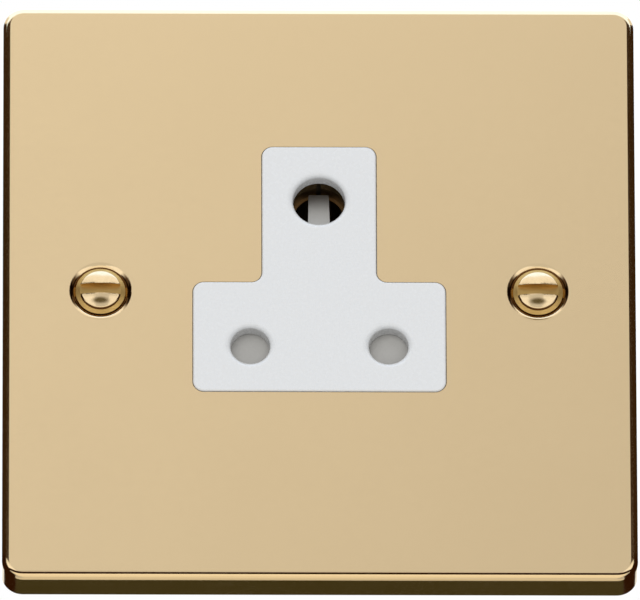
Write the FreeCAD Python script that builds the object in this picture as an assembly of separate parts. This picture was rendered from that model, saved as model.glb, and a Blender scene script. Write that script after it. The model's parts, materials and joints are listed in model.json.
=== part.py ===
"""Round pin socket outlet: pressed brass plate, white insert, sprung shutter and three contacts.

Millimetres, +Z up. The wall is the plane Y = 0, the front faces -Y, and the origin is the middle
of the plate in the wall plane.
"""
import FreeCAD, Part
import math
import os

Vector = FreeCAD.Vector

# Front plate, pressed from brass sheet
plate_width = 87.3
plate_height = 87.3
plate_depth = 5.6
plate_sheet = 0.9
plate_bend_radius = 0.1
plate_corner_radius = 2.0

# Fixing screws and the dimples that they sit in
fixing_spacing = 60.3
recess_diameter = 7.9
recess_edge_radius = 0.9
dimple_hole_diameter = 3.9
dimple_depth = 2.1
dimple_land = 0.4
head_diameter = 6.9
head_edge = 0.25
head_ledge_rise = 0.15
head_boss_diameter = 5.7
head_boss_radius = 0.3
head_rise = 1.2
head_dome_radius = 8.5
slot_width = 1.5
slot_depth = 1.0
screw_neck_diameter = 3.0
screw_neck_room = 1.6
screw_thread_diameter = 3.5
screw_length = 25.0
screw_point = 0.8
seat_gap = 0.05
retainer_diameter = 6.8
retainer_thickness = 0.8

# Pins of the plug that the socket takes
pin_spacing = 19.05
earth_rise = 22.225
live_pin_diameter = 5.08
live_pin_length = 14.9
earth_pin_diameter = 7.06
earth_pin_length = 20.6
pin_line_height = -8.25

# White front moulding
insert_proud = 0.3
front_wall = 2.5
tee_margin = 7.87
tee_below = 7.1
tee_rise = 9.55
tee_above = 8.08
tee_corner_radius = 1.5
tee_edge_radius = 0.3
aperture_gap = 0.1
live_hole_diameter = 5.46
earth_hole_diameter = 7.2
hole_lip_radius = 0.9
flange_width = 48.4
flange_top = 23.6
flange_bottom = -28.8
flange_corner_radius = 3.0
groove_skin = 1.1

# Shutter and its spring
running_gap = 0.25
side_gap = 0.3
shutter_thickness = 1.8
blade_cover = 0.85
blade_corner_radius = 0.8
stem_width = 6.2
tongue_width = 3.0
tongue_top_width = 2.8
ramp_depth = 4.55
tongue_rise = 3.52
tongue_foot = 3.4
tongue_heel_height = 0.8
tongue_overlap = 2.0
tongue_thickness = 0.75
tongue_tip_radius = 0.2
open_clearance = 0.15
lug_width = 3.8
lug_thickness = 1.5
lug_reach = 3.95
spigot_diameter = 2.0
spigot_height = 1.5
spring_diameter = 3.6
spring_wire = 0.5
spring_turns = 6
spring_length = 16.2
spring_end_gap = 0.1

# Contact tubes and their clips
contact_gap = 0.03
tube_wall = 0.75
tube_lead = 0.3
tube_setback = 0.5
tip_room = 0.5
slit_width = 0.6
slit_root = 2.0
collar_bore = 8.0
collar_wall = 0.65
groove_depth = 0.25
clip_width = 1.0
clip_thickness = 0.6
clip_setback = 2.2
clip_opening = 50.0
clip_slack = 0.02
neck_step = 0.35
flare_height = 0.5

# Terminals
bar_thickness = 2.0
bar_margin = 0.6
pillar_size = 6.8
pillar_length = 8.2
pillar_gap = 0.75
pillar_edge_radius = 0.5
wire_bore_diameter = 3.2
wire_setback = 2.8
terminal_screw_diameter = 3.4
terminal_thread_gap = 0.05
terminal_screw_lift = 0.3
terminal_tip_gap = 0.15
terminal_head_diameter = 4.8
terminal_head_height = 2.0
terminal_slot_width = 0.8
terminal_slot_depth = 1.0

# Housing
wall = 1.6
pocket_gap = 0.2
block_corner_radius = 2.0
back_cover = 3.4
back_edge_radius = 0.8
wire_hole_diameter = 4.0
wire_funnel = 0.5
driver_hole_diameter = 5.4
post_size = 4.8
post_gap = 0.1
rail_width = 1.6
core_width = 6.0
core_height = 11.0
core_depth = 5.0
core_radius = 0.8

# Screws that hold the two mouldings together
housing_shank_diameter = 2.9
housing_pilot_gap = 0.05
housing_hole_diameter = 3.4
housing_head_diameter = 5.6
housing_head_height = 1.9
housing_bore_diameter = 6.2
housing_bore_depth = 3.0
housing_boss_diameter = 6.0
housing_screw_margin = 1.2
pilot_skin = 0.6
pilot_room = 0.1
housing_head_chamfer = 0.5
housing_slot_width = 0.9
housing_slot_depth = 0.9

# Studs, washers and nuts that hold the mechanism to the plate
stud_diameter = 3.0
stud_length = 5.6
stud_hole_diameter = 3.4
stud_side = 20.3
stud_side_height = 13.5
stud_foot = 14.0
stud_foot_height = -24.9
stud_chamfer = 0.3
washer_diameter = 6.0
washer_thickness = 0.5
nut_across_flats = 5.5
nut_height = 2.4
nut_bore_diameter = 3.1
nut_crown_inset = 0.4
nut_crown_height = 1.4

# Earth strap
strap_thickness = 0.6
strap_width = 4.0
strap_bend = 0.3
strap_eye_diameter = 6.4
strap_standoff = 0.6
strap_notch_gap = 0.1
peg_diameter = 2.0
peg_height = 0.9

# Levels along the depth
plate_face = -plate_depth
plate_back = plate_face + plate_sheet
insert_face = plate_face - insert_proud
wall_back = insert_face + front_wall
shutter_front = wall_back + running_gap
shutter_back = shutter_front + shutter_thickness
land = shutter_back + running_gap

# Places that follow from the pins
live_x = pin_spacing / 2
earth_height = pin_line_height + earth_rise
live_bore = live_pin_diameter / 2 + contact_gap
earth_bore = earth_pin_diameter / 2 + contact_gap
live_tube = live_bore + tube_wall
earth_tube = earth_bore + tube_wall
live_end = insert_face + live_pin_length + tip_room
earth_end = insert_face + earth_pin_length + tip_room
live_front = land + tube_setback
contact_stand = max(clip_thickness - groove_depth + clip_slack, bar_margin)

# Shutter travel and outline at rest
travel = tongue_rise + earth_pin_diameter / 2 + open_clearance
blade_half = live_x + live_hole_diameter / 2 + blade_cover
blade_top = pin_line_height - live_pin_diameter / 2 - open_clearance + travel
blade_bottom = pin_line_height - live_hole_diameter / 2 - blade_cover
stem_top = earth_height - earth_hole_diameter / 2 - open_clearance
cavity_bottom = blade_bottom - travel - side_gap
nose_front = insert_face + groove_skin + running_gap
ramp_top = nose_front + ramp_depth
tongue_back = ramp_top + tongue_thickness
tongue_heel = earth_height - tongue_foot - tongue_heel_height - (shutter_front - nose_front)
tongue_root = stem_top - tongue_overlap
earth_front = tongue_back + side_gap
spring_seat = cavity_bottom
lug_bottom = spring_seat + spring_length
spring_axis = land + spring_diameter / 2 + side_gap / 2
channel_floor = shutter_back + lug_reach + side_gap

# Outline of the housing
pillar_reach = pillar_gap + pillar_size
lower_half = live_x + live_tube + pillar_reach + pocket_gap + wall
lower_top = pin_line_height + tee_rise
block_bottom = cavity_bottom - wall
housing_bore = housing_bore_diameter / 2
upper_half = earth_tube + pillar_reach + pocket_gap + 2 * wall
upper_top = earth_height + earth_tube + contact_stand + pocket_gap + wall
lower_screw_x = lower_half - housing_bore - housing_screw_margin
lower_screw_height = block_bottom + housing_bore + housing_screw_margin
upper_screw_x = upper_half - housing_bore - housing_screw_margin
lower_back = live_end - flare_height + back_cover
upper_back = earth_end - flare_height + back_cover
head_seat = lower_back - housing_bore_depth


def front(across, up, depth):
    """Point on a plane parallel to the wall."""
    return Vector(across, depth, up)


def plan(across, depth, up):
    """Point on a level plane."""
    return Vector(across, depth, up)


def side(depth, up, across):
    """Point on an upright plane square to the wall."""
    return Vector(across, depth, up)


def outline(corners, plane, level):
    """Closed wire through corners (u, v, radius), each rounded by an arc of its radius."""
    bends = []
    for i, (u, v, radius) in enumerate(corners):
        corner = plane(u, v, level)
        before = plane(corners[i - 1][0], corners[i - 1][1], level)
        after = plane(corners[(i + 1) % len(corners)][0], corners[(i + 1) % len(corners)][1], level)
        back = (before - corner).normalize()
        ahead = (after - corner).normalize()
        half = back.getAngle(ahead) / 2
        setback = radius / math.tan(half)
        inward = (back + ahead).normalize() if radius > 0 else Vector()
        middle = corner + inward * (radius / math.sin(half) - radius)
        bends.append((corner + back * setback, middle, corner + ahead * setback))
    edges = []
    for i, (start, middle, end) in enumerate(bends):
        leave = bends[i - 1][2]
        if leave.distanceToPoint(start) > 1e-6:
            edges.append(Part.makeLine(leave, start))
        if start.distanceToPoint(end) > 1e-6:
            edges.append(Part.Arc(start, middle, end).toShape())
    return Part.Wire(edges)


def slab(corners, plane, start, end):
    """Prism of an outline between two levels of its plane."""
    face = Part.Face(outline(corners, plane, start))
    return face.extrude(plane(0, 0, end - start))


def rectangle(u0, u1, v0, v1, radius=0.0):
    """Corners of a rectangle with one corner radius."""
    return [(u0, v0, radius), (u1, v0, radius), (u1, v1, radius), (u0, v1, radius)]


def block(x0, x1, y0, y1, z0, z1):
    """Plain rectangular block."""
    return Part.makeBox(x1 - x0, y1 - y0, z1 - z0, Vector(x0, y0, z0))


def rod(diameter, y0, y1, x, z):
    """Round bar along the depth."""
    return Part.makeCylinder(diameter / 2, y1 - y0, Vector(x, y0, z), Vector(0, 1, 0))


def cross_rod(diameter, x0, x1, y, z):
    """Round bar across the width."""
    return Part.makeCylinder(diameter / 2, x1 - x0, Vector(x0, y, z), Vector(1, 0, 0))


def turned(profile, x, z):
    """Solid turned about an axis along the depth, from (radius, depth) points."""
    points = [Vector(x + radius, depth, z) for radius, depth in profile]
    face = Part.Face(Part.makePolygon(points + points[:1]))
    return face.revolve(Vector(x, 0, z), Vector(0, 1, 0), 360)


def joined(shapes):
    """One solid made of overlapping shapes."""
    whole = shapes[0].fuse(shapes[1:])
    return whole.removeSplitter()


def rounded(shape, radius, chosen):
    """Shape with a radius on the edges for which chosen is true."""
    edges = [edge for edge in shape.Edges if chosen(edge)]
    return shape.makeFillet(radius, edges)


def lies_at(edge, depth):
    """True for an edge that lies wholly at one depth."""
    return all(abs(p.y - depth) < 1e-4 for p in edge.discretize(5))


def centred_on(edge, x, z, radius):
    """True for a circle of this radius about an axis along the depth."""
    curve = edge.Curve
    if not isinstance(curve, Part.Circle):
        return False
    middle = Vector(curve.Center.x - x, 0, curve.Center.z - z)
    return middle.Length < 1e-4 and abs(curve.Radius - radius) < 1e-4


def tee_corners(grow):
    """Outline of the insert's face, grown by a margin."""
    wide = live_x + tee_margin + grow
    narrow = tee_margin + grow
    bottom = pin_line_height - tee_below - grow
    shoulder = pin_line_height + tee_rise + grow
    top = earth_height + tee_above + grow
    outer = tee_corner_radius + grow
    inner = tee_corner_radius - grow
    return [
        (-wide, bottom, outer), (wide, bottom, outer), (wide, shoulder, outer),
        (narrow, shoulder, inner), (narrow, top, outer), (-narrow, top, outer),
        (-narrow, shoulder, inner), (-wide, shoulder, outer),
    ]


def pin_holes():
    """Places and diameters of the three pin holes."""
    return [
        (-live_x, pin_line_height, live_hole_diameter),
        (live_x, pin_line_height, live_hole_diameter),
        (0.0, earth_height, earth_hole_diameter),
    ]


def stud_places():
    """The four weld studs, with the extra height of the earth strap under one nut."""
    return [
        (-stud_side, stud_side_height, strap_thickness),
        (stud_side, stud_side_height, 0.0),
        (-stud_foot, stud_foot_height, 0.0),
        (stud_foot, stud_foot_height, 0.0),
    ]


def housing_screw_places():
    """Places of the screws that join the two mouldings."""
    return [
        (-lower_screw_x, lower_screw_height),
        (lower_screw_x, lower_screw_height),
        (upper_screw_x, earth_height),
    ]


def terminals():
    """Each contact: name, place, side of its pillar, bore and tube radius, and rear end."""
    return [
        ("live", live_x, pin_line_height, 1, live_bore, live_tube, live_end),
        ("neutral", -live_x, pin_line_height, -1, live_bore, live_tube, live_end),
        ("earth", 0.0, earth_height, -1, earth_bore, earth_tube, earth_end),
    ]


def pillar_x(x, hand, tube):
    """Middle of the terminal pillar beside a contact tube."""
    return x + hand * (tube + pillar_gap + pillar_size / 2)


# Brass plate

def pressed_dimple(x):
    """Metal of one screw dimple behind the sheet."""
    face_radius = recess_diameter / 2
    slope = plate_sheet * math.sqrt(2)
    floor = plate_face + dimple_depth
    rim = face_radius - plate_sheet + slope
    foot = face_radius - dimple_depth - dimple_land + slope
    return turned([(0, plate_back), (rim, plate_back), (foot, floor + dimple_land),
                   (0, floor + dimple_land)], x, 0)


def dimple_cut(x):
    """Countersunk recess and screw hole of one dimple."""
    face_radius = recess_diameter / 2
    hole = dimple_hole_diameter / 2
    floor = plate_face + face_radius - hole
    back = plate_face + dimple_depth + dimple_land
    return turned([(0, plate_face), (face_radius, plate_face), (hole, floor), (hole, back + 1),
                   (0, back + 1)], x, 0)


def front_plate():
    """Tray pressed from sheet, with the tee aperture and two screw dimples."""
    half_w = plate_width / 2
    half_h = plate_height / 2
    outer_radius = plate_corner_radius + plate_sheet
    bend = plate_bend_radius + plate_sheet
    shell = slab(rectangle(-half_w, half_w, -half_h, half_h, outer_radius), front, plate_face, 0)
    shell = rounded(shell, bend, lambda edge: lies_at(edge, plate_face))
    in_w = half_w - plate_sheet
    in_h = half_h - plate_sheet
    hollow = slab(rectangle(-in_w, in_w, -in_h, in_h, plate_corner_radius), front, plate_back, 1)
    hollow = rounded(hollow, plate_bend_radius, lambda edge: lies_at(edge, plate_back))
    plate = shell.cut(hollow)
    plate = plate.cut(slab(tee_corners(aperture_gap), front, plate_face - 1, plate_back + 1))
    places = [-fixing_spacing / 2, fixing_spacing / 2]
    plate = joined([plate] + [pressed_dimple(x) for x in places])
    for x in places:
        plate = plate.cut(dimple_cut(x))
    radius = recess_diameter / 2
    return rounded(plate, recess_edge_radius, lambda edge: any(
        lies_at(edge, plate_face) and centred_on(edge, x, 0, radius) for x in places))


def fixing_screw(x):
    """Slotted screw with a raised, domed boss on its countersunk head, seated in its dimple."""
    head = head_diameter / 2
    boss = head_boss_diameter / 2
    neck = screw_neck_diameter / 2
    thread = screw_thread_diameter / 2
    cone = plate_face + recess_diameter / 2 - head - seat_gap
    rim = cone - head_edge
    crown = rim - head_rise
    tip = crown + screw_length
    thread_start = plate_face + dimple_depth + dimple_land + screw_neck_room
    inner = boss - head_boss_radius
    reach = head_dome_radius - head_boss_radius
    dome_middle = Vector(x, crown + head_dome_radius, 0)
    edge_middle = Vector(x + inner, dome_middle.y - math.sqrt(reach * reach - inner * inner), 0)
    outward = (edge_middle - dome_middle).normalize()
    dome_end = dome_middle + outward * head_dome_radius
    boss_side = edge_middle + Vector(head_boss_radius, 0, 0)
    on_dome = dome_middle + (outward + Vector(0, -1, 0)).normalize() * head_dome_radius
    on_edge = edge_middle + (outward + Vector(1, 0, 0)).normalize() * head_boss_radius
    points = [
        boss_side, Vector(x + boss, rim - head_ledge_rise, 0),
        Vector(x + head, rim, 0), Vector(x + head, cone, 0),
        Vector(x + neck, cone + head - neck, 0), Vector(x + neck, thread_start, 0),
        Vector(x + thread, thread_start, 0), Vector(x + thread, tip - screw_point, 0),
        Vector(x + thread - screw_point, tip, 0), Vector(x, tip, 0), Vector(x, crown, 0),
    ]
    edges = [Part.makeLine(a, b) for a, b in zip(points, points[1:])]
    edges.append(Part.Arc(Vector(x, crown, 0), on_dome, dome_end).toShape())
    edges.append(Part.Arc(dome_end, on_edge, boss_side).toShape())
    body = Part.Face(Part.Wire(edges)).revolve(Vector(x, 0, 0), Vector(0, 1, 0), 360)
    half_slot = slot_width / 2
    slot = block(x - head, x + head, crown - 1, crown + slot_depth, -half_slot, half_slot)
    return body.cut(slot)


def fixing_screws():
    """Both fixing screws."""
    return Part.Compound([fixing_screw(-fixing_spacing / 2), fixing_screw(fixing_spacing / 2)])


def screw_retainers():
    """Nylon washers pushed over the necks of the fixing screws behind the plate."""
    start = plate_face + dimple_depth + dimple_land + seat_gap
    rings = []
    for x in (-fixing_spacing / 2, fixing_spacing / 2):
        ring = rod(retainer_diameter, start, start + retainer_thickness, x, 0)
        hole = rod(screw_neck_diameter + 2 * seat_gap, start - 1, start + 2, x, 0)
        rings.append(ring.cut(hole))
    return Part.Compound(rings)


# White front moulding

def housing_outline(grow):
    """Outline shared by the skirt and the rear moulding: wide below, narrower above."""
    radius = block_corner_radius + grow
    inside = block_corner_radius - grow
    wide = lower_half + grow
    narrow = upper_half + grow
    return [
        (-wide, block_bottom - grow, radius), (wide, block_bottom - grow, radius),
        (wide, lower_top + grow, radius), (narrow, lower_top + grow, inside),
        (narrow, upper_top + grow, radius), (-narrow, upper_top + grow, radius),
        (-narrow, lower_top + grow, inside), (-wide, lower_top + grow, radius),
    ]


def shutter_guides():
    """Ribs that guide the stem and the outer edges of the shutter's blades."""
    ribs = []
    for hand in (-1, 1):
        inner = stem_width / 2 + side_gap
        stem_rib = sorted([hand * inner, hand * (inner + rail_width)])
        foot = blade_top + blade_corner_radius + side_gap
        ribs.append(block(*stem_rib, wall_back, land, foot, stem_top - side_gap))
        inner = blade_half + side_gap
        blade_rib = sorted([hand * inner, hand * (inner + rail_width)])
        ribs.append(block(*blade_rib, wall_back, land, cavity_bottom, blade_top))
    return ribs


def hold_down_posts():
    """Posts that press the terminals home in the rear moulding."""
    posts = []
    for name, x, z, hand, bore, tube, end in terminals():
        middle = pillar_x(x, hand, tube)
        pillar_front = end - flare_height - pillar_length
        cover = peg_height if name == "earth" else 0.0
        tip = pillar_front - post_gap - cover
        half = post_size / 2
        posts.append(block(middle - half, middle + half, wall_back, tip, z - half, z + half))
    return posts


def front_moulding():
    """Insert face, flange behind the plate, skirt, guide ribs and posts in one moulding."""
    tee = slab(tee_corners(0), front, insert_face, wall_back)
    tee = rounded(tee, tee_edge_radius, lambda edge: lies_at(edge, insert_face))
    half = flange_width / 2
    flange = slab(rectangle(-half, half, flange_bottom, flange_top, flange_corner_radius),
                  front, plate_back, wall_back)
    skirt = slab(housing_outline(0), front, wall_back, land)
    skirt = skirt.cut(slab(housing_outline(-wall), front, wall_back - 1, land + 1))
    bosses = [rod(housing_boss_diameter, wall_back, land, x, z) for x, z in housing_screw_places()]
    body = joined([tee, flange, skirt] + bosses + shutter_guides() + hold_down_posts())
    for x, z, diameter in pin_holes():
        body = body.cut(rod(diameter, insert_face - 1, wall_back + 1, x, z))
    body = rounded(body, hole_lip_radius, lambda edge: any(
        lies_at(edge, insert_face) and centred_on(edge, x, z, diameter / 2)
        for x, z, diameter in pin_holes()))
    for x, z, lift in stud_places():
        body = body.cut(rod(stud_hole_diameter, plate_back - 1, wall_back + 1, x, z))
    pilot = housing_shank_diameter + 2 * housing_pilot_gap
    for x, z in housing_screw_places():
        body = body.cut(rod(pilot, plate_back + pilot_skin, land + 1, x, z))
    half = tongue_width / 2 + side_gap
    body = body.cut(block(-half, half, insert_face + groove_skin, wall_back + 1,
                          tongue_heel - travel - side_gap, earth_height))
    half = strap_width / 2 + strap_notch_gap
    body = body.cut(block(-upper_half - 1, -upper_half + wall + 1,
                          land - strap_thickness - 2 * strap_notch_gap, land + 1,
                          earth_height - half, earth_height + half))
    return body


# Shutter and spring

def shutter():
    """Sliding shutter: two blades, a stem, a ramp tongue and a lug for the spring."""
    stem = stem_width / 2
    corner = blade_corner_radius
    body = slab([
        (-blade_half, blade_bottom, corner), (blade_half, blade_bottom, corner),
        (blade_half, blade_top, corner), (stem, blade_top, corner), (stem, stem_top, corner),
        (-stem, stem_top, corner), (-stem, blade_top, corner), (-blade_half, blade_top, corner),
    ], front, shutter_front, shutter_back)
    half = tongue_width / 2
    foot = earth_height - tongue_foot
    tip = earth_height + tongue_rise
    tongue = slab([
        (shutter_front, tongue_heel, 0), (nose_front, foot - tongue_heel_height, 0),
        (nose_front, foot, tongue_tip_radius), (ramp_top, tip, tongue_tip_radius),
        (tongue_back, tip, tongue_tip_radius), (tongue_back, earth_height, 0),
        (shutter_back, tongue_root, 0), (shutter_front, tongue_root, 0),
    ], side, -half, half)
    taper = math.atan((tongue_width - tongue_top_width) / 2 / (tongue_rise + tongue_foot))
    for hand in (-1, 1):
        cheek = block(0, 1, nose_front - 1, tongue_back + 1, 0, 2 * tongue_rise + tongue_foot)
        if hand < 0:
            cheek.translate(Vector(-1, 0, 0))
        cheek.rotate(Vector(), Vector(0, 1, 0), -hand * math.degrees(taper))
        cheek.translate(Vector(hand * half, 0, foot))
        tongue = tongue.cut(cheek)
    lug = slab(rectangle(-lug_width / 2, lug_width / 2, lug_bottom, lug_bottom + lug_thickness),
               front, shutter_back - 1, shutter_back + lug_reach)
    spigot = Part.makeCylinder(spigot_diameter / 2, spigot_height + 1,
                               Vector(0, spring_axis, lug_bottom - spigot_height))
    return joined([body, tongue, lug, spigot])


def shutter_spring():
    """Round wire compression spring that pushes the shutter up."""
    mean = (spring_diameter - spring_wire) / 2
    length = spring_length - 2 * spring_end_gap - spring_wire
    helix = Part.makeHelix(length / spring_turns, length, mean)
    start = Vector(mean, 0, 0)
    ring = Part.Wire(Part.makeCircle(spring_wire / 2, start, Vector(0, 1, 0)))
    coil = Part.Wire(helix).makePipeShell([ring], True, True)
    coil.translate(Vector(0, spring_axis, spring_seat + spring_end_gap + spring_wire / 2))
    return coil


# Contacts

def contact_tube(x, z, bore, tube, end, tube_front, collar):
    """Turned split tube with a clip groove and a neck swaged into the terminal bar."""
    bar_back = end - flare_height
    bar_front = bar_back - bar_thickness
    neck = tube - neck_step
    groove_start = tube_front + clip_setback
    groove_end = groove_start + clip_width + 2 * clip_slack
    if collar:
        outside = collar + collar_wall
        profile = [(bore, tube_front), (collar, tube_front), (collar, land), (outside, land),
                   (outside, tube_front), (tube, tube_front)]
    else:
        profile = [(bore, tube_front + tube_lead), (bore + tube_lead, tube_front),
                   (tube, tube_front)]
    profile += [
        (tube, groove_start), (tube - groove_depth, groove_start),
        (tube - groove_depth, groove_end), (tube, groove_end), (tube, bar_front),
        (neck, bar_front), (neck, bar_back), (tube, bar_back), (tube, end), (bore, end),
    ]
    body = turned(profile, x, z)
    half = slit_width / 2
    slit = block(x - half, x + half, land - 1, bar_front - slit_root, z - tube - 1, z + tube + 1)
    return body.cut(slit)


def live_contact_at(x):
    """Tube for one of the two lower pins."""
    return contact_tube(x, pin_line_height, live_bore, live_tube, live_end, live_front, None)


def earth_contact():
    """Longer tube for the earth pin: its wide mouth is open below for the shutter's tongue."""
    body = contact_tube(0, earth_height, earth_bore, earth_tube, earth_end, earth_front,
                        collar_bore / 2)
    half = tongue_width / 2 + side_gap
    gate = block(-half, half, land - 1, earth_front, earth_height - collar_bore, earth_height)
    return body.cut(gate)


def contact_clip(x, z, tube, tube_front):
    """Open strip ring in the groove of a contact tube, its gap to the side away from the slits."""
    inner = tube - groove_depth + clip_slack
    start = tube_front + clip_setback + clip_slack
    section = Part.makePlane(clip_thickness, clip_width, Vector(x + inner, start, z))
    ring = section.revolve(Vector(x, 0, z), Vector(0, 1, 0), 360 - clip_opening)
    ring.rotate(Vector(x, 0, z), Vector(0, 1, 0), clip_opening / 2)
    return ring


# Terminals

def terminal(x, z, hand, tube, end, peg):
    """Brass bar round the tube's neck with a pillar for the wire beside the tube."""
    bar_back = end - flare_height
    bar_front = bar_back - bar_thickness
    pillar_front = bar_back - pillar_length
    middle = pillar_x(x, hand, tube)
    half = pillar_size / 2
    ring = rod(2 * (tube + bar_margin), bar_front, bar_back, x, z)
    reach = sorted([x, middle])
    bar = block(reach[0], reach[1], bar_front, bar_back, z - half, z + half)
    pillar = slab(rectangle(middle - half, middle + half, z - half, z + half, pillar_edge_radius),
                  front, pillar_front, bar_back)
    body = joined([ring, bar, pillar])
    body = body.cut(rod(2 * (tube - neck_step) + 2 * clip_slack, bar_front - 1, bar_back + 1, x, z))
    wire_depth = pillar_front + wire_setback
    body = body.cut(cross_rod(wire_bore_diameter, middle - half - 1, middle + half + 1,
                              wire_depth, z))
    thread = terminal_screw_diameter + 2 * terminal_thread_gap
    body = body.cut(rod(thread, wire_depth, bar_back + 1, middle, z))
    if peg:
        peg_end = pillar_front + pillar_edge_radius
        body = joined([body, rod(peg_diameter, pillar_front - peg_height, peg_end, middle, z)])
    return body


def terminal_screw(x, z, hand, tube, end):
    """Slotted terminal screw, backed off so that the wire bore is clear."""
    bar_back = end - flare_height
    wire_depth = bar_back - pillar_length + wire_setback
    middle = pillar_x(x, hand, tube)
    tip = wire_depth + wire_bore_diameter / 2 + terminal_tip_gap
    seat = bar_back + terminal_screw_lift
    top = seat + terminal_head_height
    shank = rod(terminal_screw_diameter, tip, seat + terminal_slot_depth, middle, z)
    head = rod(terminal_head_diameter, seat, top, middle, z)
    body = joined([shank, head])
    half = terminal_slot_width / 2
    slot = block(middle - terminal_head_diameter, middle + terminal_head_diameter,
                 top - terminal_slot_depth, top + 1, z - half, z + half)
    return body.cut(slot)


def terminal_screws():
    """The three terminal screws."""
    return Part.Compound([terminal_screw(x, z, hand, tube, end)
                          for name, x, z, hand, bore, tube, end in terminals()])


# Rear moulding

def contact_pocket(x, z, hand, tube, end):
    """Space for one contact with its terminal, open towards the shutter."""
    bar_back = end - flare_height
    middle = pillar_x(x, hand, tube)
    half = pillar_size / 2 + pocket_gap
    radius = tube + contact_stand + pocket_gap
    reach = sorted([x, middle + hand * half])
    cuts = [
        rod(2 * radius, land - 1, bar_back, x, z),
        block(reach[0], reach[1], land - 1, bar_back, z - half, z + half),
        rod(2 * (tube + pocket_gap), bar_back - 1, end + pocket_gap, x, z),
        rod(driver_hole_diameter, bar_back - 1, bar_back + back_cover + 1, middle, z),
    ]
    wire_depth = bar_back - pillar_length + wire_setback
    edge = upper_half if z > lower_top else lower_half
    outside = sorted([middle, hand * (edge + 1)])
    cuts.append(cross_rod(wire_hole_diameter, outside[0], outside[1], wire_depth, z))
    bore = wire_hole_diameter / 2
    mouth = Vector(hand * edge, wire_depth, z)
    cuts.append(Part.makeCone(bore + wire_funnel, bore, wire_funnel, mouth, Vector(-hand, 0, 0)))
    return cuts


def rear_block():
    """Stepped block: the upper part is deeper, because the earth pin is longer."""
    body = slab(housing_outline(0), front, land, lower_back)
    body = rounded(body, back_edge_radius, lambda edge: lies_at(edge, lower_back))
    tower = slab(rectangle(-upper_half, upper_half, lower_top - block_corner_radius, upper_top,
                           block_corner_radius), front, land, upper_back)
    tower = rounded(tower, back_edge_radius, lambda edge: lies_at(edge, upper_back))
    return joined([body, tower])


def rear_moulding():
    """Housing that carries the three contacts, the spring and the shutter's land."""
    body = rear_block()
    for name, x, z, hand, bore, tube, end in terminals():
        for cut in contact_pocket(x, z, hand, tube, end):
            body = body.cut(cut)
    half = lug_width / 2 + side_gap
    body = body.cut(block(-half, half, land - 1, channel_floor, spring_seat,
                          lug_bottom + lug_thickness + side_gap))
    peg = Part.makeCylinder(spigot_diameter / 2, spigot_height + 1,
                            Vector(0, spring_axis, spring_seat - 1))
    body = joined([body, peg])
    half = tongue_width / 2 + side_gap
    body = body.cut(block(-half, half, land - 1, tongue_back + side_gap,
                          tongue_root - travel - side_gap, earth_height))
    collar = collar_bore + 2 * (collar_wall + pocket_gap)
    body = body.cut(rod(collar, land - 1, tongue_back + side_gap, 0, earth_height))
    for x, z in housing_screw_places():
        body = body.cut(rod(housing_hole_diameter, land - 1, upper_back + 1, x, z))
        body = body.cut(rod(housing_bore_diameter, head_seat, upper_back + 1, x, z))
    half = core_width / 2
    middle = (spring_seat + pin_line_height) / 2
    return body.cut(slab(rectangle(-half, half, middle - core_height / 2, middle + core_height / 2,
                                   core_radius), front, lower_back - core_depth, lower_back + 1))


def housing_screws():
    """Thread forming pan head screws from the back into the front moulding's bosses."""
    screws = []
    for x, z in housing_screw_places():
        tip = plate_back + pilot_skin + pilot_room
        shank = rod(housing_shank_diameter, tip, head_seat + housing_head_height / 2, x, z)
        head = rod(housing_head_diameter, head_seat, head_seat + housing_head_height, x, z)
        top = head_seat + housing_head_height
        rim = [edge for edge in head.Edges if lies_at(edge, top)]
        head = head.makeChamfer(housing_head_chamfer, rim)
        body = joined([shank, head])
        half = housing_slot_width / 2
        slot = block(x - housing_head_diameter, x + housing_head_diameter,
                     top - housing_slot_depth, top + 1, z - half, z + half)
        screws.append(body.cut(slot))
    return Part.Compound(screws)


# Fixing of the mechanism to the plate

def plate_studs():
    """Threaded weld studs on the back of the plate."""
    studs = []
    for x, z, lift in stud_places():
        stud = rod(stud_diameter, plate_back, plate_back + stud_length, x, z)
        end = plate_back + stud_length
        rim = [edge for edge in stud.Edges if lies_at(edge, end)]
        studs.append(stud.makeChamfer(stud_chamfer, rim))
    return Part.Compound(studs)


def stud_washers():
    """Plain washers under the nuts."""
    rings = []
    for x, z, lift in stud_places():
        start = wall_back + lift
        ring = rod(washer_diameter, start, start + washer_thickness, x, z)
        rings.append(ring.cut(rod(stud_hole_diameter, start - 1, start + 2, x, z)))
    return Part.Compound(rings)


def stud_nuts():
    """Hexagon nuts on the studs."""
    nuts = []
    for x, z, lift in stud_places():
        start = wall_back + lift + washer_thickness
        corner = nut_across_flats / 2 / math.cos(math.radians(30))
        corners = []
        for i in range(6):
            angle = math.radians(60 * i)
            corners.append((x + corner * math.cos(angle), z + corner * math.sin(angle), 0))
        end = start + nut_height
        nut = slab(corners, front, start, end)
        crown = turned([(0, start - 1), (corner + 1, start - 1), (corner + 1, end - nut_crown_height),
                        (corner - nut_crown_inset, end), (0, end)], x, z)
        nut = nut.common(crown)
        nuts.append(nut.cut(rod(nut_bore_diameter, start - 1, end + 1, x, z)))
    return Part.Compound(nuts)


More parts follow.
